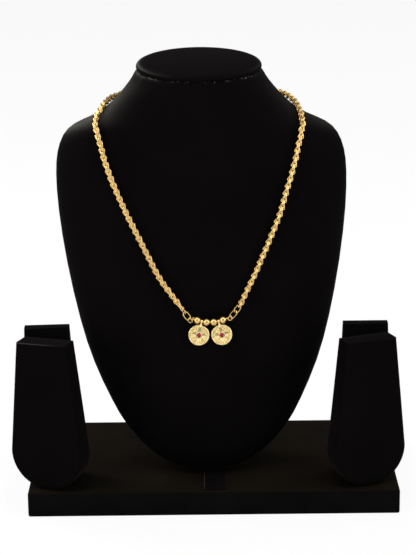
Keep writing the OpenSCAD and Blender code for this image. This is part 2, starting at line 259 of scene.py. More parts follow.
# The studio in metres: its floor, the world from front to sides with the gain and offset between them,
# and the lights. Columns: place, width and height, share of the set power
FLOOR_HALF = 6
FLOOR_GLOW = 0.9
FLOOR_SHADE = 0.08
WORLD_DIM = 0.3
WORLD_SIDE = 0.9
WORLD_SPREAD = (2, -0.7)
CAMERA_AIM = (-0.00225, 0, 0.137)
LIGHT_AIM = (0, 0, 0.14)
LIGHTS = {
    "key": ((-1.3, -0.65, 0.6), 0.9, 1.1, 1),
    "fill": ((1.3, -0.65, 0.65), 0.9, 1.1, 1),
    "rim_left": ((-0.95, 0.55, 0.85), 0.5, 0.9, 1.45),
    "rim_right": ((0.95, 0.55, 0.85), 0.5, 0.9, 0.55),
    "top": ((0, -0.45, 1.3), 1.4, 0.9, 1),
}


# What can be set


def a_length(name, description, default, least=0):
    """A length given in millimetres and kept in metres"""
    return FloatProperty(
        name=name, description=description, default=default * MM, min=least * MM, unit="LENGTH"
    )


def an_angle(name, description, angle):
    return FloatProperty(name=name, description=description, default=radians(angle), subtype="ANGLE")


def a_colour(name, description, *channels):
    return FloatVectorProperty(name=name, description=description, default=channels, subtype="COLOR")


def a_power(name, description, watts):
    return FloatProperty(name=name, description=description, default=watts, min=0, unit="POWER")


class ChainSettings(bpy.types.PropertyGroup):
    """Sizes of the folded-link chain"""

    wire: a_length("Wire", "Diameter of a link's wire", 1, least=0.3)
    pitch: a_length("Pitch", "Distance between links", 2.27, least=2)
    lift: a_length("Lift", "Height of the chain's middle above the velvet", 2.3)
    roll_left: an_angle("Left Roll", "How the left half lies", -14)
    roll_right: an_angle("Right Roll", "How the right half lies", 6)
    unrest: an_angle("Unrest", "How far links roll out of line", 4)
    sides: IntProperty(name="Wire Sides", description="Sides of a link's wire", default=6, min=6, max=12)


class PendantSettings(bpy.types.PropertyGroup):
    """Sizes of the vatis, balls and stones"""

    vati_d: a_length("Vati", "Diameter of a vati", 13.1)
    vati_h: a_length("Rim Height", "Height of a vati's rim", 1.8)
    grain_d: a_length("Granule", "Diameter of a granule", 0.78)
    stone_d: a_length("Stone", "Diameter of a red stone", 2.6)
    bead_d: a_length("Ball", "Diameter of a gold ball", 4.5)
    bead_l: a_length("Ball Length", "Between its flat ends", 3.9)
    wire_d: a_length("Wire", "Diameter of the balls' wire", 0.8)
    wire_r: a_length("Wire Curve", "Radius of the wire's curve", 24)


class StandSettings(bpy.types.PropertyGroup):
    """Sizes of the board and the towers"""

    depth: a_length("Board Depth", "Depth of the board", 127)
    height: a_length("Board Height", "Thickness of the board", 16)
    tower_h: a_length("Tower Height", "Top of a panel", 111.5)
    tower_w: a_length("Tower Width", "Widest part of a panel", 48)
    tower_top: a_length("Tower Top", "Width of a panel's top", 33)
    tower_t: a_length("Tower Depth", "Thickness of a panel", 15)


class FinishSettings(bpy.types.PropertyGroup):
    """Colours of the finishes"""

    velvet: a_colour("Velvet", "Black of the velvet", 0.0022, 0.0018, 0.002)
    board: a_colour("Board Cloth", "Warm black of the board", 0.003, 0.0028, 0.0027)
    gold: a_colour("Gold", "Deep yellow gold", 0.77, 0.53, 0.2)
    pale_gold: a_colour("Pale Gold", "Lighter gold of the vatis", 0.9, 0.74, 0.38)
    ruby: a_colour("Ruby", "Red of the stones", 0.26, 0.003, 0.012)
    floor: a_colour("Floor", "Pale floor", 0.9, 0.9, 0.9)


class StageSettings(bpy.types.PropertyGroup):
    """The plain studio round the stand"""

    lens: FloatProperty(name="Lens", description="Focal length in millimetres", default=121.7, min=20)
    distance: a_length("Distance", "From camera to stand", 1200)
    elevation: an_angle("Elevation", "Camera's angle above the table", 16)
    roll: an_angle("Roll", "Camera's roll", 0.6)
    aim: FloatVectorProperty(
        name="Aim", description="Where the camera looks", default=CAMERA_AIM, subtype="TRANSLATION"
    )
    key: a_power("Key Light", "Power of the key light", 8)
    fill: a_power("Fill Light", "Power of the fill light", 7.5)
    rim: a_power("Rim Lights", "Power of a rim light, before its share", 7)
    top: a_power("Top Light", "Power of the top light", 8)


class StandProperties(bpy.types.PropertyGroup):
    """Everything that can be set"""

    chain: PointerProperty(type=ChainSettings)
    pendants: PointerProperty(type=PendantSettings)
    stand: PointerProperty(type=StandSettings)
    finish: PointerProperty(type=FinishSettings)
    stage: PointerProperty(type=StageSettings)


# Shape of the bust


def bust_section(height):
    """Half width, seam, front depth, back depth and rise of the bust at a height"""
    rows = BUST_RINGS
    if height <= rows[0][0]:
        return rows[0][1:]
    for low, high in zip(rows, rows[1:]):
        if height <= high[0]:
            share = (height - low[0]) / (high[0] - low[0])
            return [a + (b - a) * share for a, b in zip(low[1:], high[1:])]
    return rows[-1][1:]


def bust_middle(height):
    """x of the bust's middle at a height"""
    return BUST_X - BUST_LEAN * (height - BUST_RINGS[0][0])


def on_section(section, angle, height):
    """A point of the bust's skin, in metres, at an angle round it, -90 in front"""
    half, seam, front, back, rise = section
    turned_by = radians(angle)
    depth = sin(turned_by) * (front if sin(turned_by) < 0 else back)
    x = bust_middle(height) + half * cos(turned_by)
    return Vector((x, seam + depth, height + depth * rise)) * MM


def skin(angle, height):
    return on_section(bust_section(height), angle, height)


def outward(angle, height):
    """The direction straight out of the velvet"""
    across = skin(angle + FEEL_TURN, height) - skin(angle - FEEL_TURN, height)
    upward = skin(angle, height + FEEL_HEIGHT) - skin(angle, height - FEEL_HEIGHT)
    return across.cross(upward).normalized()


def chest(x, height):
    """A point on the front of the bust, x in millimetres"""
    sideways = (x - bust_middle(height)) / bust_section(height)[0]
    return skin(degrees(asin(sideways)) - 90, height)


def looking(along, out, place):
    """A placing matrix: X along one direction and Z as near to another as it can be"""
    out = (out - along * along.dot(out)).normalized()
    return Matrix.Translation(place) @ Matrix((along, out.cross(along), out)).transposed().to_4x4()


def chest_matrix(x, y, lift):
    """A place on the flat patch under the pendants: X to the right, Y up along the velvet, Z outwards"""
    up = (chest(CHEST_X, CHEST_Z + PATCH_UP) - chest(CHEST_X, CHEST_Z - PATCH_DOWN)).normalized()
    right = (chest(CHEST_X + PATCH_SIDE, CHEST_Z) - chest(CHEST_X - PATCH_SIDE, CHEST_Z)).normalized()
    out = right.cross(up).normalized()
    return looking(right, out, chest(CHEST_X, CHEST_Z) + out * lift * MM) @ shift(x, y, 0)


def turn(angle, axis):
    return Matrix.Rotation(radians(angle), 4, axis)


def shift(x, y, z):
    """A move in millimetres"""
    return Matrix.Translation(Vector((x, y, z)) * MM)


# Working on shapes


def as_mesh(bm, name="shape"):
    """Makes a bmesh a mesh and frees it"""
    mesh = bpy.data.meshes.new(name)
    bm.to_mesh(mesh)
    bm.free()
    return mesh


def add_mesh(bm, mesh, matrix):
    """Adds a placed copy of a mesh to a bmesh"""
    before = len(bm.verts)
    bm.from_mesh(mesh)
    bm.verts.ensure_lookup_table()
    bmesh.ops.transform(bm, matrix=matrix, verts=bm.verts[before:])


def add_once(bm, mesh, matrix=Matrix()):
    """Adds a placed mesh to a bmesh and drops the mesh"""
    add_mesh(bm, mesh, matrix)
    bpy.data.meshes.remove(mesh)


def add_shape(bm, shape, matrix=Matrix()):
    """Adds a placed bmesh to another and frees it"""
    add_once(bm, as_mesh(shape), matrix)


def placed(bm, matrix):
    """Moves a whole bmesh to its place"""
    bmesh.ops.transform(bm, matrix=matrix, verts=bm.verts)
    return bm


def edges_at(verts):
    """All edges at some vertices, each once and in a fixed order"""
    return list(dict.fromkeys(edge for vert in verts for edge in vert.link_edges))


def open_edges(bm):
    return [edge for edge in bm.edges if edge.is_boundary]


def verts_in(geometry):
    return [part for part in geometry if isinstance(part, bmesh.types.BMVert)]


def bridge_rings(bm, rings):
    """Joins rings of vertices with faces, each to the next"""
    loops = [edges_at(ring) for ring in rings]
    for low, high in zip(loops, loops[1:]):
        bmesh.ops.bridge_loops(bm, edges=low + high)


def ease_edges(bm, edges, ease, segments):
    """Rounds edges over a width in metres"""
    bmesh.ops.bevel(
        bm, geom=edges, offset=ease, segments=segments, profile=0.5, affect="EDGES", material=-1
    )


# Turned and wire shapes


def turned(profile, steps, closed=False):
    """A solid turned about Z from points of radius and height in millimetres"""
    bm = bmesh.new()
    verts = [bm.verts.new(Vector((radius, 0, height)) * MM) for radius, height in profile]
    ends = verts[1:] + verts[:1] if closed else verts[1:]
    edges = [bm.edges.new(pair) for pair in zip(verts, ends)]
    bmesh.ops.spin(
        bm, geom=verts + edges, cent=(0, 0, 0), axis=(0, 0, 1), angle=FULL_TURN, steps=steps, use_merge=True
    )
    bmesh.ops.remove_doubles(bm, verts=bm.verts, dist=MERGE)
    bmesh.ops.recalc_face_normals(bm, faces=bm.faces)
    return bm


def arc(middle, radius, start, end, steps):
    """Points of an arc in a profile"""
    angles = [radians(start + (end - start) * k / steps) for k in range(steps + 1)]
    return [(middle[0] + radius * cos(a), middle[1] + radius * sin(a)) for a in angles]


def wire_ring(half_length, half_width, wire, steps=40, sides=12):
    """A round wire ring, its length along X, from a torus drawn out to an oval"""
    section = arc((half_width, 0), wire / 2, 0, 360 - 360 / sides, sides - 1)
    bm = turned(section, steps, closed=True)
    drawn = (half_length - half_width) * MM
    for vert in bm.verts:
        if abs(vert.co.x) > TOUCH:
            vert.co.x += copysign(drawn, vert.co.x)
    return bm


def ball(radius, half_length, hole, steps=40, rings=20):
    """A ball with flat ends, drilled through along Z"""
    reach = degrees(asin(half_length / radius))
    profile = arc((0, 0), radius, -reach, reach, rings)
    return turned(profile + [(hole, half_length), (hole, -half_length)], steps, closed=True)


def tube(path, thickness, sides, closed=True):
    """A mesh of round wire along a path, all in metres"""
    curve = bpy.data.curves.new("wire", "CURVE")
    curve.dimensions = "3D"
    curve.bevel_depth = thickness / 2
    curve.bevel_resolution = sides // 2 - 2
    curve.use_fill_caps = not closed
    spline = curve.splines.new("POLY")
    spline.points.add(len(path) - 1)
    for point, place in zip(spline.points, path):
        point.co = (*place, 1)
    spline.use_cyclic_u = closed
    holder = bpy.data.objects.new("wire", curve)
    mesh = bpy.data.meshes.new_from_object(holder)
    bpy.data.objects.remove(holder)
    bpy.data.curves.remove(curve)
    return mesh


# Chain


def curve_point(points, share):
    """A point between the second and third of four, on a smooth curve through them"""
    p0, p1, p2, p3 = points
    return 0.5 * (
        2 * p1
        + (p2 - p0) * share
        + (2 * p0 - 5 * p1 + 4 * p2 - p3) * share**2
        + (3 * p1 - p0 - 3 * p2 + p3) * share**3
    )


def fine_way(way):
    """The way with WAY_STEPS steps between its points"""
    last = len(way) - 1
    fine = []
    for i in range(last):
        near = [Vector(way[max(0, min(last, i + k))]) for k in (-1, 0, 1, 2)]
        fine += [curve_point(near, step / WAY_STEPS) for step in range(WAY_STEPS)]
    return fine + [Vector(way[last])]


def link_places(way, chain):
    """Where the links of a way lie: X along the chain, Z the way that its flat looks"""
    mids = [skin(*p) + chain.lift * outward(*p) for p in fine_way(way)]
    far = [0]
    for a, b in zip(mids, mids[1:]):
        far.append(far[-1] + (b - a).length)
    count = round(far[-1] / chain.pitch)
    places = []
    i = 0
    for k in range(count + 1):
        here = far[-1] * k / count
        while i < len(mids) - 2 and far[i + 1] < here:
            i += 1
        share = (here - far[i]) / (far[i + 1] - far[i])
        along = (mids[i + 1] - mids[i]).normalized()
        places.append(looking(along, CHAIN_FACE, mids[i].lerp(mids[i + 1], share)))
    return places


def link_loop():
    """The closed path of a folded link's wire, in metres: X from fold to tips, Z between its two eyes"""
    strand = [Vector((x, width, depth)) * MM for x, depth, width in LINK_STRAND]
    back = [Vector((p.x, -p.y, p.z)) for p in reversed(strand[:-1])]
    front_eye = strand + back
    rear_eye = [Vector((p.x, -p.y, -p.z)) for p in front_eye]
    return front_eye[:-1] + rear_eye[:-1]


def along_way(places, far, point):
    """A point of a link laid along the bending way, far counting from the way's first place"""
    first = max(0, min(len(places) - 2, floor(far)))
    across = Vector((0, point.y, point.z))
    return (places[first] @ across).lerp(places[first + 1] @ across, far - first)


def chain_half(way, roll, folds_to_clasp, chain, seed):
    """All the folded links of one half of the chain"""
    rng = random.Random(seed)
    loop = tube(link_loop(), chain.wire, chain.sides)
    if folds_to_clasp:
        lay = shift(LINK_STRAND[-1][0] - LINK_END, 0, 0) @ turn(180, "Z")
    else:
        lay = shift(-LINK_END, 0, 0)
    places = link_places(way, chain)
    gap = (places[1].translation - places[0].translation).length
    bm = bmesh.new()
    for k in range(len(places) - 1):
        lean = roll + k % 2 * QUARTER + rng.uniform(-1, 1) * chain.unrest
        before = len(bm.verts)
        add_mesh(bm, loop, Matrix.Rotation(lean, 4, "X") @ lay)
        bm.verts.ensure_lookup_table()
        for vert in bm.verts[before:]:
            vert.co = along_way(places, k + vert.co.x / gap, vert.co)
    bpy.data.meshes.remove(loop)
    return bm


# Nodes of the materials


def feed(socket, value):
    """Links a socket from another one, or sets it to a number or colour"""
    if isinstance(value, bpy.types.NodeSocket):
        socket.id_data.links.new(value, socket)
    else:
        socket.default_value = value


def fill(node, **values):
    """Feeds the sockets of a node by their names"""
    for label, value in values.items():
        feed(node.inputs[label.replace("_", " ")], value)
    return node


def add_node(tree, kind, **values):
    return fill(tree.nodes.new("ShaderNode" + kind), **values)


def add_math(operation, *values, clamp=False):
    """A math node fed by a socket and by more sockets or numbers"""
    node = add_node(values[0].id_data, "Math")
    node.operation = operation
    node.use_clamp = clamp
    for socket, value in zip(node.inputs, values):
        feed(socket, value)
    return node.outputs[0]


def add_noise(place, scale, detail):
    """A noise texture's value"""
    return add_node(place.id_data, "TexNoise", Vector=place, Scale=scale, Detail=detail).outputs["Fac"]


def coordinates(tree, kind):
    return add_node(tree, "TexCoord").outputs[kind]


def split(vector):
    """The X, Y and Z of a vector"""
    return add_node(vector.id_data, "SeparateXYZ", Vector=vector).outputs


def node_group(name, **inputs):
    """A shader node group with named inputs, and the sockets that they come from"""
    group = bpy.data.node_groups.new(name, "ShaderNodeTree")
    for label, default in inputs.items():
        label = label.replace("_", " ")
        socket = group.interface.new_socket(label, in_out="INPUT", socket_type="NodeSocketFloat")
        socket.default_value = default
    return group, group.nodes.new("NodeGroupInput").outputs


def give_out(group, **values):
    """Gives a group its named outputs"""
    for label in values:
        group.interface.new_socket(label, in_out="OUTPUT", socket_type="NodeSocketFloat")
    fill(group.nodes.new("NodeGroupOutput"), **values)
    return group


def nap_group():
    """Velvet nap: soft brushed patches and a fine pile"""
    group, entry = node_group(
        "Velvet Nap", Patch_Scale=22, Patch_Height=0.15, Pile_Scale=2600, Pile_Share=0.5, Brush=0.6
    )
    place = coordinates(group, "Object")
    patches = add_noise(place, entry["Patch Scale"], detail=4)
    pile = add_noise(place, entry["Pile Scale"], detail=1)
    brushed = add_math("MULTIPLY", patches, entry["Brush"])
    shade = add_math("MULTIPLY_ADD", pile, entry["Pile Share"], brushed)
    height = add_math("MULTIPLY_ADD", patches, entry["Patch Height"], pile)
    return give_out(group, Shade=shade, Height=height)


def weave_group():
    """Plain cloth weave: two sets of threads crossing"""
    group, entry = node_group("Cloth Weave", Thread_Scale=900, Thread_Shade=0.3, Slub_Scale=60, Slub=0.4)
    place = coordinates(group, "Object")
    waves = []
    for direction in ("X", "Y"):
        wave = add_node(group, "TexWave", Vector=place, Scale=entry["Thread Scale"])
        fill(wave, Distortion=0.6, Detail_Scale=2)
        wave.wave_type = "BANDS"
        wave.bands_direction = direction
        waves.append(wave.outputs["Fac"])
    woven = add_math("MULTIPLY", *waves)
    slub = add_noise(place, entry["Slub Scale"], detail=3)
    height = add_math("MULTIPLY_ADD", slub, entry["Slub"], woven)
    shade = add_math("MULTIPLY_ADD", woven, entry["Thread Shade"], slub)
    return give_out(group, Shade=shade, Height=height)


def dust_and_top_light_group():
    """Dust with painted top light: a lighter colour, in clouds, on faces that look up"""
    group, entry = node_group("Settled Dust", Steepness=0.6, Gain=3, Cloud_Scale=40)
    above = add_math("SUBTRACT", split(coordinates(group, "Normal"))["Z"], entry["Steepness"])
    share = add_math("MULTIPLY", above, entry["Gain"], clamp=True)
    cloud = add_noise(coordinates(group, "Object"), entry["Cloud Scale"], detail=5)
    return give_out(group, Dust=add_math("MULTIPLY", share, cloud))


def painted_sheen_group():
    """Painted sheen: a lighter colour on slopes that look up and sideways, more of it on the left"""
    group, entry = node_group("Painted Sheen", Spread=3.6, Right_Share=0.5, Steepness=3, Falloff=2.5)
    way = split(coordinates(group, "Normal"))
    left = add_math("MULTIPLY", way["X"], -1)
    right = add_math("MULTIPLY", way["X"], entry["Right Share"])
    sideways = add_math("MAXIMUM", left, right)
    steep = add_math("POWER", add_math("MAXIMUM", way["Z"], 0), entry["Steepness"])
    both = add_math("MULTIPLY", sideways, steep)
    spread = add_math("MULTIPLY", both, entry["Spread"], clamp=True)
    return give_out(group, Light=add_math("POWER", spread, entry["Falloff"]))


def stitch_group():
    """Bits of pale thread in the seam under the neck's lip"""
    group, entry = node_group("Seam Stitches", Half_Width=0.4 * MM, Thread_Scale=600, Bareness=0.62)
    place = coordinates(group, "Object")
    way = split(place)
    level = add_math("MULTIPLY_ADD", way["Y"], -SEAM_RISE, -SEAM_Z * MM)
    off = add_math("ABSOLUTE", add_math("ADD", way["Z"], level))
    near = add_math("LESS_THAN", off, entry["Half Width"])
    bits = add_math("GREATER_THAN", add_noise(place, entry["Thread Scale"], detail=1), entry["Bareness"])
    return give_out(group, Thread=add_math("MULTIPLY", near, bits))


def wear_group():
    """Handling wear on metal: cloudy polish and faint dents"""
    group, entry = node_group(
        "Metal Wear", Low_Roughness=0.1, High_Roughness=0.25, Cloud_Scale=500, Dent_Scale=900
    )
    place = coordinates(group, "Object")
    clouds = add_noise(place, entry["Cloud Scale"], detail=5)
    spread = add_math("SUBTRACT", entry["High Roughness"], entry["Low Roughness"])
    rough = add_math("MULTIPLY_ADD", clouds, spread, entry["Low Roughness"])
    return give_out(group, Roughness=rough, Height=add_noise(place, entry["Dent Scale"], detail=2))


# Materials


def new_material(name):
    """The Principled shader of a new material, which is kept by its name"""
    material = bpy.data.materials.new(name)
    material.use_nodes = True
    return material.node_tree.nodes["Principled BSDF"]


def place_group(shader, group, **values):
    """The outputs of a group that is placed in a shader's material with its own values"""
    node = add_node(shader.id_data, "Group")
    node.node_tree = group
    return fill(node, **values).outputs


def scaled(colour, factor):
    return [channel * factor for channel in colour]


def shade_between(shader, factor, colour, dark, light):
    """Feeds the shader a colour that goes from its dark share to its light share by a value"""
    ramp = add_node(shader.id_data, "ValToRGB", Fac=factor)
    for stop, share in zip(ramp.color_ramp.elements, (dark, light)):
        stop.color = (*scaled(colour, share), 1)
    fill(shader, Base_Color=ramp.outputs["Color"])
    return ramp.outputs["Color"]


def lay_over(shader, factor, under, over):
    """Lays a colour over another by a value, on its way to the shader"""
    mix = add_node(shader.id_data, "Mix")
    mix.data_type = "RGBA"
    fill(mix, Factor=factor, A=under, B=(*over, 1))
    fill(shader, Base_Color=mix.outputs["Result"])
    return mix.outputs["Result"]


def bump_from(shader, height, strength, depth):
    """Feeds a height into the shader's normal, its depth in millimetres"""
    bump = add_node(shader.id_data, "Bump", Strength=strength, Distance=depth * MM, Height=height)
    fill(shader, Normal=bump.outputs["Normal"])


def seen_as(end, lighting, seen):
    """Ends a tree in one shader for the light and another for what the camera sees"""
    path = add_node(end.id_data, "LightPath")
    mix = add_node(end.id_data, "MixShader", Fac=path.outputs["Is Camera Ray"])
    feed(mix.inputs[1], lighting)
    feed(mix.inputs[2], seen)
    fill(end, Surface=mix.outputs["Shader"])


def velvet_material(finish, dust_and_light):
    shader = new_material("black_velvet")
    nap = place_group(shader, nap_group(), Brush=0.7)
    shade = shade_between(shader, nap["Shade"], finish.velvet, dark=0.5, light=1.7)
    dust_light = place_group(shader, dust_and_light, Steepness=0.7)
    # Dust and painted top light: paler velvet on faces that look up
    shade = lay_over(shader, dust_light["Dust"], shade, scaled(finish.velvet, 1.4))
    # Painted sheen: paler velvet on slopes that look up and sideways, brighter on the left
    shade = lay_over(shader, place_group(shader, painted_sheen_group())["Light"], shade, PAINTED_SHEEN)
    lay_over(shader, place_group(shader, stitch_group())["Thread"], shade, STITCH)
    bump_from(shader, nap["Height"], strength=0.6, depth=0.15)
    fill(shader, Roughness=0.6, IOR=1.035)
    fill(shader, Sheen_Weight=0.03, Sheen_Roughness=0.25, Sheen_Tint=(1, 0.92, 0.82, 1))


def board_material(finish, dust_and_light):
    shader = new_material("board_cloth")
    weave = place_group(shader, weave_group())
    shade = shade_between(shader, weave["Shade"], finish.board, dark=0.6, light=1.4)
    dust_light = place_group(shader, dust_and_light, Steepness=0.5)
    # Warm dust and painted top light on the board's faces that look up
    lay_over(shader, dust_light["Dust"], shade, BOARD_DUST_AND_LIGHT)
    bump_from(shader, weave["Height"], strength=0.35, depth=0.1)
    fill(shader, Roughness=0.8, Specular_IOR_Level=0.01)


def gold_material(name, colour, wear, low, high, dent):
    """Gold between two roughnesses, with dents of a strength"""
    shader = new_material(name)
    worn = place_group(shader, wear, Low_Roughness=low, High_Roughness=high)
    shade_between(shader, worn["Height"], colour, dark=0.9, light=1.05)
    bump_from(shader, worn["Height"], strength=dent, depth=0.08)
    fill(shader, Roughness=worn["Roughness"], Metallic=1)


def ruby_material(finish):
    shader = new_material("red_stone")
    silk = add_noise(coordinates(shader.id_data, "Object"), scale=700, detail=3)
    shade_between(shader, silk, finish.ruby, dark=0.6, light=1.3)
    fill(shader, Roughness=0.1, IOR=1.76, Specular_IOR_Level=0.3)


def floor_material(finish):
    """A pale floor, seen nearly white with a faint shadow"""
    shader = new_material("pale_floor")
    tree = shader.id_data
    cloud = add_noise(coordinates(tree, "Object"), scale=3, detail=2)
    shade_between(shader, cloud, finish.floor, dark=0.98, light=1)
    fill(shader, Roughness=0.9, Specular_IOR_Level=0)
    glow = add_node(tree, "Emission", Strength=FLOOR_GLOW)
    shade = add_node(tree, "BsdfDiffuse", Color=(FLOOR_SHADE, FLOOR_SHADE, FLOOR_SHADE, 1))
    both = add_node(tree, "AddShader")
    feed(both.inputs[0], shade.outputs["BSDF"])
    feed(both.inputs[1], glow.outputs["Emission"])
    seen_as(tree.nodes["Material Output"], shader.outputs["BSDF"], both.outputs["Shader"])


def make_materials(finish):
    """Every finish, kept in the file by name"""
    dust_and_light = dust_and_top_light_group()
    velvet_material(finish, dust_and_light)
    board_material(finish, dust_and_light)
    wear = wear_group()
    gold_material("chain_gold", finish.gold, wear, low=0.1, high=0.24, dent=0.12)
    gold_material("ball_gold", finish.gold, wear, low=0.24, high=0.36, dent=0.12)
    gold_material("cup_gold", finish.pale_gold, wear, low=0.15, high=0.35, dent=0.3)
    ruby_material(finish)
    floor_material(finish)


# Finished pieces


def new_object(name, data):
    """An object that is in the scene"""
    made = bpy.data.objects.new(name, data)
    bpy.context.scene.collection.objects.link(made)
    return made


def new_piece(name, bm, material, nodes, sharp=None, levels=0):
    """Makes a bmesh a finished piece that stands for the named nodes"""
    mesh = as_mesh(bm, name)
    mesh.shade_smooth()
    if sharp is not None:
        mesh.set_sharp_from_angle(angle=radians(sharp))
    mesh.materials.append(bpy.data.materials[material])
    piece = new_object(name, mesh)
    if levels:
        modifier = piece.modifiers.new("Smooth", "SUBSURF")
        modifier.levels = levels
        modifier.render_levels = levels
    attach(piece, BODY)
    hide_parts(*nodes)


def bust_ring(bm, row):
    """One ring of the bust, drawn from a circle"""
    height, *section = row
    wrinkle = WRINKLES.get(height, 0)
    ring = bmesh.ops.create_circle(bm, cap_ends=False, radius=1, segments=BUST_SEGMENTS)["verts"]
    for k, vert in enumerate(ring):
        angle = 360 * k / BUST_SEGMENTS
        vert.co = on_section(section, angle, height)
        fold = sum(sin(radians(angle * waves + start)) for waves, start in WRINKLE_WAVES)
        vert.co += outward(angle, min(height, LIP_FROM)) * wrinkle * fold * MM
    return ring


def bust_shape():
    """The velvet bust: rings bridged from the foot to the neck's crown"""
    rows = [row for row in BUST_RINGS if row[0] <= LIP_FROM] + list(LIP_RINGS)
    bm = bmesh.new()
    rings = [bust_ring(bm, row) for row in rows]
    bridge_rings(bm, rings)
    for ring in (rings[0], rings[-1]):
        middle = sum((v.co for v in ring), Vector()) / len(ring)
        rim = [edge for edge in edges_at(ring) if edge.is_boundary]
        cap = bmesh.ops.contextual_create(bm, geom=rim)["faces"]
        bmesh.ops.poke(bm, faces=cap)["verts"][0].co = middle
    bmesh.ops.recalc_face_normals(bm, faces=bm.faces)
    return bm


class MANGALSUTRA_OT_add_bust(bpy.types.Operator):
    """Adds the velvet neck bust"""

    bl_idname = "mangalsutra.add_bust"
    bl_label = "Neck Bust"

    def execute(self, context):
        new_piece("bust_velvet", bust_shape(), "black_velvet", ["neck_bust"], levels=1)
        return {"FINISHED"}


def eased_box(low, high, ease, segments):
    """A box between two corners in metres with rounded edges, their width in millimetres"""
    bm = bmesh.new()
    bmesh.ops.create_cube(bm, size=1)
    bmesh.ops.scale(bm, vec=high - low, verts=bm.verts)
    bmesh.ops.translate(bm, vec=(low + high) / 2, verts=bm.verts)
    ease_edges(bm, bm.edges[:], ease * MM, segments)
    return bm


class MANGALSUTRA_OT_add_board(bpy.types.Operator):
    """Adds the cloth-covered board and the tab in front of the bust"""

    bl_idname = "mangalsutra.add_board"
    bl_label = "Board and Tab"

    def execute(self, context):
        low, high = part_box("base_board")
        board = eased_box(low, high, BOARD_EASE, segments=3)
        new_piece("board_cover", board, "board_cloth", ["base_board"], sharp=20)
        low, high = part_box("front_tab")
        tab = eased_box(low, high, TAB_EASE, segments=2)
        new_piece("tab_velvet", tab, "black_velvet", ["front_tab"], sharp=20)
        return {"FINISHED"}


def slab(outline, thickness, lean, eases):
    """A padded slab on the board: an outline in metres, leaned, cut level at its foot and extruded"""
    bm = bmesh.new()
    bm.faces.new([bm.verts.new((x, y, 0)) for x, y in outline])
    foot = Vector((0, FOOT_Z * MM, 0))
    bmesh.ops.rotate(bm, cent=foot, matrix=Matrix.Rotation(radians(lean), 3, "Z"), verts=bm.verts)
    whole = bm.verts[:] + bm.edges[:] + bm.faces[:]
    bmesh.ops.bisect_plane(bm, geom=whole, plane_co=foot, plane_no=(0, 1, 0), clear_inner=True)
    made = bmesh.ops.extrude_face_region(bm, geom=bm.faces[:])["geom"]
    bmesh.ops.translate(bm, vec=(0, 0, thickness), verts=verts_in(made))
    bmesh.ops.recalc_face_normals(bm, faces=bm.faces)
    front_ease, back_ease = eases
    for level, ease in ((0, back_ease), (thickness, front_ease)):
        rim = [e for e in bm.edges if all(abs(v.co.z - level) < TOUCH for v in e.verts)]
        ease_edges(bm, rim, ease * MM, segments=5)
    return bm


def panel_outline(stand):
    """Straight flanks from a narrow top to a wide belly, and a round foot"""
    half = stand.tower_w / 2
    top = stand.tower_top / 2
    points = [(-top, stand.tower_h), (-half, TOWER_BELLY * MM)]
    for step in range(180 + TOWER_STEP, 360, TOWER_STEP):
        angle = radians(step)
        points.append((half * cos(angle), (TOWER_BELLY + TOWER_ROUND * sin(angle)) * MM))
    return points + [(half, TOWER_BELLY * MM), (top, stand.tower_h)]


def block_outline(stand):
    """A block that widens a little to its foot"""
    foot = BLOCK_FOOT_W / 2 * MM
    half = BLOCK_TOP_W / 2 * MM
    height = stand.tower_h + BLOCK_RISE * MM
    low = stand.height
    return [(-foot, low), (foot, low), (half, height), (-half, height)]


def tower_matrix(row, stand, thickness):
    """Stands a slab up behind its face's middle"""
    x, back, yaw, _ = row
    face = Matrix.Translation((x * MM, back * MM - stand.depth / 2, 0))
    return face @ turn(yaw, "Z") @ Matrix.Translation((0, thickness, 0)) @ turn(90, "X")


class MANGALSUTRA_OT_add_towers(bpy.types.Operator):
    """Adds the two earring towers, each a panel and a block behind it"""

    bl_idname = "mangalsutra.add_towers"
    bl_label = "Earring Towers"

    def execute(self, context):
        stand = context.scene.mangalsutra.stand
        kinds = (
            ("panel", PANELS, panel_outline(stand), stand.tower_t, PANEL_EASES),
            ("block", BLOCKS, block_outline(stand), BLOCK_T * MM, BLOCK_EASES),
        )
        for kind, rows, outline, thickness, eases in kinds:
            for side, row in rows.items():
                bm = placed(slab(outline, thickness, row[3], eases), tower_matrix(row, stand, thickness))
                nodes = [f"tower_{side}_{kind}"]
                new_piece(f"{kind}_velvet_{side}", bm, "black_velvet", nodes, sharp=60)
        return {"FINISHED"}


class MANGALSUTRA_OT_add_chain(bpy.types.Operator):
    """Adds both halves of the folded-link chain"""

    bl_idname = "mangalsutra.add_chain"
    bl_label = "Chain"

    def execute(self, context):
        chain = context.scene.mangalsutra.chain
        left = chain_half(LEFT_WAY, chain.roll_left, True, chain, seed=3)
        new_piece("links_left", left, "chain_gold", ["chain_left"])
        right = chain_half(RIGHT_WAY, chain.roll_right, False, chain, seed=8)
        new_piece("links_right", right, "chain_gold", ["chain_right"])
        return {"FINISHED"}


class MANGALSUTRA_OT_add_rings(bpy.types.Operator):
    """Adds the jump rings between the chain and the wire of the balls"""

    bl_idname = "mangalsutra.add_rings"
    bl_label = "Jump Rings"

    def execute(self, context):
        for node, row in RINGS.items():
            x, y, lift, yaw, roll, *sizes = row
            lay = turn(yaw, "Z") @ turn(RING_DIP, "Y") @ turn(roll, "X")
            bm = placed(wire_ring(*sizes), chest_matrix(x, y, lift) @ lay)
            new_piece(f"ring_{node}", bm, "chain_gold", [node])
        return {"FINISHED"}


def on_wire(angle, pendants):
    """A place on the curve of the balls' wire, X along it"""
    reach = Matrix.Translation((0, pendants.wire_r, 0))
    return chest_matrix(0, WIRE_LOW, WIRE_LIFT) @ reach @ turn(angle, "Z") @ reach.inverted()


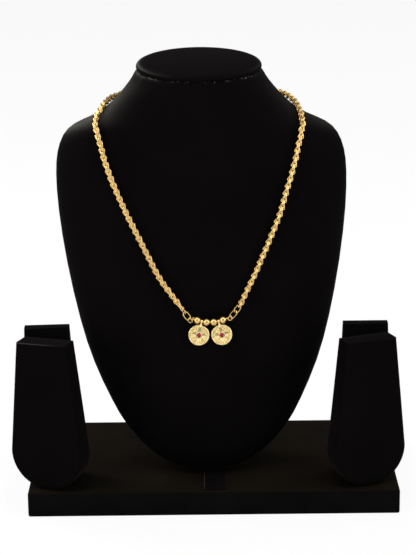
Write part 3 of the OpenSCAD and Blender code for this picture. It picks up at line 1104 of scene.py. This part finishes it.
def bead_wire_shape(pendants):
    """The curved wire with an eye at each end and a collar"""
    first, last = (eye[-1] for eye in WIRE_EYES)
    angles = [first + (last - first) * k / WIRE_STEPS for k in range(WIRE_STEPS + 1)]
    path = [on_wire(angle, pendants).translation for angle in angles]
    bm = bmesh.new()
    add_once(bm, tube(path, pendants.wire_d, sides=12, closed=False))
    for x, y, radius, yaw, roll, joint, end in WIRE_EYES:
        place = chest_matrix(x, y, WIRE_LIFT) @ turn(yaw, "Z") @ turn(roll, "X")
        add_shape(bm, wire_ring(radius, radius, EYE_WIRE), place)
        on_eye = place @ (turn(joint, "Z") @ Vector((radius * MM, 0, 0)))
        neck = [on_wire(end, pendants).translation, on_eye]
        add_once(bm, tube(neck, NECK_D * MM, sides=16, closed=False))
    collar = turned(COLLAR, steps=24, closed=True)
    add_shape(bm, collar, on_wire(COLLAR_ANGLE, pendants) @ turn(90, "Y"))
    return bm


class MANGALSUTRA_OT_add_bead_wire(bpy.types.Operator):
    """Adds the wire that the balls and vatis are threaded on"""

    bl_idname = "mangalsutra.add_bead_wire"
    bl_label = "Wire of the Balls"

    def execute(self, context):
        shape = bead_wire_shape(context.scene.mangalsutra.pendants)
        new_piece("wire_of_balls", shape, "chain_gold", ["bead_wire"], sharp=40)
        return {"FINISHED"}


class MANGALSUTRA_OT_add_beads(bpy.types.Operator):
    """Adds the four polished balls"""

    bl_idname = "mangalsutra.add_beads"
    bl_label = "Gold Balls"

    def execute(self, context):
        pendants = context.scene.mangalsutra.pendants
        for number, angle in enumerate(BEAD_ANGLES, 1):
            bead = ball(pendants.bead_d / 2 / MM, pendants.bead_l / 2 / MM, BEAD_HOLE)
            placed(bead, on_wire(angle, pendants) @ turn(90, "Y"))
            new_piece(f"ball_{number}", bead, "ball_gold", [f"bead_{number}"], sharp=20)
        return {"FINISHED"}


def vati_matrix(side):
    """Where a vati lies: side is -1 on the left and 1 on the right"""
    x, y, lift = VATI_PLACE
    return chest_matrix(side * x, y, lift) @ turn(side * VATI_TURN, "Z")


def cup_profile(radius, height):
    """Half of a cup's section, with a rounded rim round its flat field"""
    inside = radius - 2 * RIM_R
    points = [(0, 0), (radius - 0.4, 0), (radius - 0.1, 0.15), (radius, 0.45)]
    points += arc((radius - RIM_R, height - RIM_R), RIM_R, 0, 180, 8)
    return points + [(inside, FIELD_H + 0.1), (inside - 0.1, FIELD_H), (0, FIELD_H)]


def star_reach(angle):
    """How far the star with hollow sides reaches, at an angle in radians from one of its four points"""
    return STAR_IN + (STAR_OUT - STAR_IN) * abs(cos(2 * angle)) ** STAR_CURVE


def star_shape():
    """A star of four ridges with hollow sides between its points"""
    bm = bmesh.new()
    ring = bmesh.ops.create_circle(bm, cap_ends=True, radius=1, segments=STAR_STEPS)["verts"]
    for k, vert in enumerate(ring):
        angle = FULL_TURN * k / STAR_STEPS
        reach = star_reach(angle)
        vert.co = Vector((reach * cos(angle), reach * sin(angle), STAR_FOOT)) * MM
    bmesh.ops.poke(bm, faces=bm.faces[:])["verts"][0].co = (0, 0, STAR_TOP * MM)
    foot = bmesh.ops.extrude_edge_only(bm, edges=open_edges(bm))["geom"]
    bmesh.ops.translate(bm, vec=(0, 0, -STAR_SINK * MM), verts=verts_in(foot))
    bmesh.ops.holes_fill(bm, edges=open_edges(bm))
    bmesh.ops.recalc_face_normals(bm, faces=bm.faces)
    return bm


def add_granules(bm, radius, grain):
    """Rings of granules from the rim in to the star"""
    rng = random.Random(5)
    granule = bmesh.new()
    bmesh.ops.create_uvsphere(granule, u_segments=8, v_segments=5, radius=grain / 2)
    granule = as_mesh(granule, "granule")
    width = grain / MM
    ring = radius - GRAIN_EDGE
    while ring > GRAIN_END:
        count = int(FULL_TURN * ring / (width * GRAIN_ALONG))
        for k in range(count):
            angle = FULL_TURN * k / count + ring
            if ring < star_reach(angle) + GRAIN_CLEAR:
                continue
            size = Matrix.Scale(rng.uniform(*GRAIN_SIZES), 4)
            rise = FIELD_H + rng.uniform(-GRAIN_RISE, GRAIN_RISE)
            tip = Matrix()
            for axis in ("X", "Y"):
                tip = tip @ turn(rng.uniform(-GRAIN_TIP, GRAIN_TIP), axis)
            place = shift(ring * cos(angle), ring * sin(angle), rise)
            add_mesh(bm, granule, place @ Matrix.Rotation(angle, 4, "Z") @ tip @ size)
        ring -= width * GRAIN_ACROSS
    bpy.data.meshes.remove(granule)


def add_bezel(bm, hole):
    """Adds the bezel round a stone's seat and its four claws"""
    profile = (
        (hole, SEAT_H), (hole, BEZEL_H - 0.25), (hole + 0.2, BEZEL_H),
        (BEZEL_R - 0.2, BEZEL_H), (BEZEL_R, BEZEL_H - 0.2), (BEZEL_R + 0.15, SEAT_H),
    )
    add_shape(bm, turned(profile, steps=40, closed=True))
    claw = bmesh.new()
    bmesh.ops.create_icosphere(claw, subdivisions=2, radius=CLAW_D / 2 * MM)
    claw = as_mesh(claw, "claw")
    for x, y in arc((0, 0), hole + CLAW_OUT, 45, 315, 3):
        add_mesh(bm, claw, shift(x, y, BEZEL_H))
    bpy.data.meshes.remove(claw)


def vati_shape(pendants):
    """A cup with a rim, granules, a star, a bezel with claws and a bail"""
    radius = pendants.vati_d / 2 / MM
    bm = turned(cup_profile(radius, pendants.vati_h / MM), steps=64)
    add_shape(bm, star_shape())
    add_bezel(bm, pendants.stone_d / 2 / MM + STONE_GAP)
    add_granules(bm, radius, pendants.grain_d)
    bail = turned(BAIL, steps=32, closed=True)
    add_shape(bm, bail, shift(0, BAIL_REACH, WIRE_LIFT - VATI_PLACE[2]) @ turn(90, "Y"))
    add_shape(bm, turned(STEM, steps=24), shift(*STEM_ROOT) @ turn(STEM_SLOPE - 90, "X"))
    return bm


class MANGALSUTRA_OT_add_vatis(bpy.types.Operator):
    """Adds the two vatis with their bails"""

    bl_idname = "mangalsutra.add_vatis"
    bl_label = "Vatis"

    def execute(self, context):
        pendants = context.scene.mangalsutra.pendants
        for name, side in SIDES.items():
            cup = placed(vati_shape(pendants), vati_matrix(side))
            new_piece(f"cup_{name}", cup, "cup_gold", [f"vati_{name}"], sharp=32)
        return {"FINISHED"}


def stone_shape(diameter):
    """A round cut stone: culet, pavilion, girdle, star facets and table"""
    radius = diameter / 2
    rows = [(radius * share, height, offset) for share, height, offset in STONE_RINGS]
    bm = bmesh.new()
    rings = []
    for reach, height, offset in [(CULET_R * MM, 0, 0), *rows]:
        ring = bmesh.ops.create_circle(bm, cap_ends=False, radius=reach, segments=FACETS)["verts"]
        half_step = Matrix.Rotation(offset * FULL_TURN / FACETS, 4, "Z")
        bmesh.ops.transform(bm, matrix=shift(0, 0, height) @ half_step, verts=ring)
        rings.append(ring)
    bridge_rings(bm, rings)
    bmesh.ops.holes_fill(bm, edges=open_edges(bm))
    bmesh.ops.recalc_face_normals(bm, faces=bm.faces)
    return bm


class MANGALSUTRA_OT_add_stones(bpy.types.Operator):
    """Adds the two red stones"""

    bl_idname = "mangalsutra.add_stones"
    bl_label = "Stones"

    def execute(self, context):
        pendants = context.scene.mangalsutra.pendants
        for name, side in SIDES.items():
            stone = placed(stone_shape(pendants.stone_d), vati_matrix(side) @ shift(0, 0, STONE_FOOT))
            new_piece(f"ruby_{name}", stone, "red_stone", [f"stone_{name}"], sharp=5)
        return {"FINISHED"}


class MANGALSUTRA_OT_add_clasp(bpy.types.Operator):
    """Adds the plain clasp on the nape"""

    bl_idname = "mangalsutra.add_clasp"
    bl_label = "Clasp"

    def execute(self, context):
        chain = context.scene.mangalsutra.chain
        out = outward(90, CLASP_Z)
        along = Vector((-1, 0, 0))
        middle = skin(90, CLASP_Z) + out * CLASP_LIFT * MM
        bm = bmesh.new()
        add_shape(bm, turned(BARREL, steps=32), turn(90, "Y"))
        ends = ((-1, RIGHT_WAY, chain.roll_right), (1, LEFT_WAY, -chain.roll_left))
        for side, way, roll in ends:
            last = (len(link_places(way, chain)) - 1) % 2
            eye_roll = roll + (1 + side * last) * QUARTER
            eye = wire_ring(CLASP_EYE_R, CLASP_EYE_R, CLASP_EYE_WIRE)
            add_shape(bm, eye, shift(side * CLASP_EYE_X, 0, 0) @ Matrix.Rotation(eye_roll, 4, "X"))
        placed(bm, looking(along, out, middle))
        new_piece("clasp_barrel", bm, "chain_gold", ["back_clasp"], sharp=40)
        return {"FINISHED"}


# Studio


def add_area(name, place, width, height, power):
    """A soft box of light looking at the stand"""
    light = bpy.data.lights.new(name, "AREA")
    light.shape = "RECTANGLE"
    light.size = width
    light.size_y = height
    light.energy = power
    lamp = new_object(name, light)
    lamp.location = place
    lamp.rotation_euler = (Vector(LIGHT_AIM) - Vector(place)).to_track_quat("-Z", "Y").to_euler()


def add_world():
    """Dim surroundings in front and behind, bright ones on both sides"""
    world = bpy.data.worlds.new("studio")
    world.use_nodes = True
    tree = world.node_tree
    sideways = add_math("ABSOLUTE", split(coordinates(tree, "Generated"))["X"])
    beside = add_math("MULTIPLY_ADD", sideways, *WORLD_SPREAD, clamp=True)
    strength = add_math("MULTIPLY_ADD", beside, WORLD_SIDE - WORLD_DIM, WORLD_DIM)
    soft = fill(tree.nodes["Background"], Color=(1, 1, 1, 1), Strength=strength)
    white = add_node(tree, "Background", Color=(1, 1, 1, 1), Strength=1)
    seen_as(tree.nodes["World Output"], soft.outputs["Background"], white.outputs["Background"])
    bpy.context.scene.world = world


def add_camera(stage):
    """The camera, straight in front of the stand and looking a little down on it"""
    look = Vector((0, cos(stage.elevation), -sin(stage.elevation)))
    camera = bpy.data.cameras.new("camera")
    camera.lens = stage.lens
    holder = new_object("camera", camera)
    level = look.to_track_quat("-Z", "Y").to_matrix().to_4x4()
    place = Vector(stage.aim) - look * stage.distance
    holder.matrix_world = Matrix.Translation(place) @ level @ Matrix.Rotation(-stage.roll, 4, "Z")
    bpy.context.scene.camera = holder


class MANGALSUTRA_OT_add_stage(bpy.types.Operator):
    """Adds the floor, the lights and the camera"""

    bl_idname = "mangalsutra.add_stage"
    bl_label = "Stage"

    def execute(self, context):
        stage = context.scene.mangalsutra.stage
        bm = bmesh.new()
        bmesh.ops.create_grid(bm, x_segments=1, y_segments=1, size=FLOOR_HALF)
        mesh = as_mesh(bm, "floor")
        mesh.materials.append(bpy.data.materials["pale_floor"])
        floor = new_object("floor", mesh)
        for name, (place, width, height, share) in LIGHTS.items():
            power = getattr(stage, name.partition("_")[0])
            add_area(name, place, width, height, power * share)
        add_world()
        add_camera(stage)
        context.scene.view_settings.view_transform = "Standard"
        return {"FINISHED"}


class VIEW3D_PT_mangalsutra(bpy.types.Panel):
    """Lists the pieces and what can be set"""

    bl_label = "Mangalsutra"
    bl_idname = "VIEW3D_PT_mangalsutra"
    bl_space_type = "VIEW_3D"
    bl_region_type = "UI"
    bl_category = "Mangalsutra"

    def draw(self, context):
        settings = context.scene.mangalsutra
        for name in StandProperties.__annotations__:
            group = getattr(settings, name)
            box = self.layout.box()
            for key in group.__annotations__:
                box.prop(group, key)
        for operator in OPERATORS:
            self.layout.operator(operator.bl_idname)


OPERATORS = (
    MANGALSUTRA_OT_add_board,
    MANGALSUTRA_OT_add_bust,
    MANGALSUTRA_OT_add_towers,
    MANGALSUTRA_OT_add_chain,
    MANGALSUTRA_OT_add_rings,
    MANGALSUTRA_OT_add_bead_wire,
    MANGALSUTRA_OT_add_beads,
    MANGALSUTRA_OT_add_vatis,
    MANGALSUTRA_OT_add_stones,
    MANGALSUTRA_OT_add_clasp,
    MANGALSUTRA_OT_add_stage,
)
CLASSES = (
    ChainSettings,
    PendantSettings,
    StandSettings,
    FinishSettings,
    StageSettings,
    StandProperties,
    *OPERATORS,
    VIEW3D_PT_mangalsutra,
)


def register():
    for cls in CLASSES:
        bpy.utils.register_class(cls)
    bpy.types.Scene.mangalsutra = PointerProperty(type=StandProperties)


def unregister():
    del bpy.types.Scene.mangalsutra
    for cls in reversed(CLASSES):
        bpy.utils.unregister_class(cls)


def main():
    """Builds everything in order"""
    register()
    make_materials(bpy.context.scene.mangalsutra.finish)
    for operator in OPERATORS:
        group, name = operator.bl_idname.split(".")
        getattr(getattr(bpy.ops, group), name)()


if __name__ == "__main__":
    main()
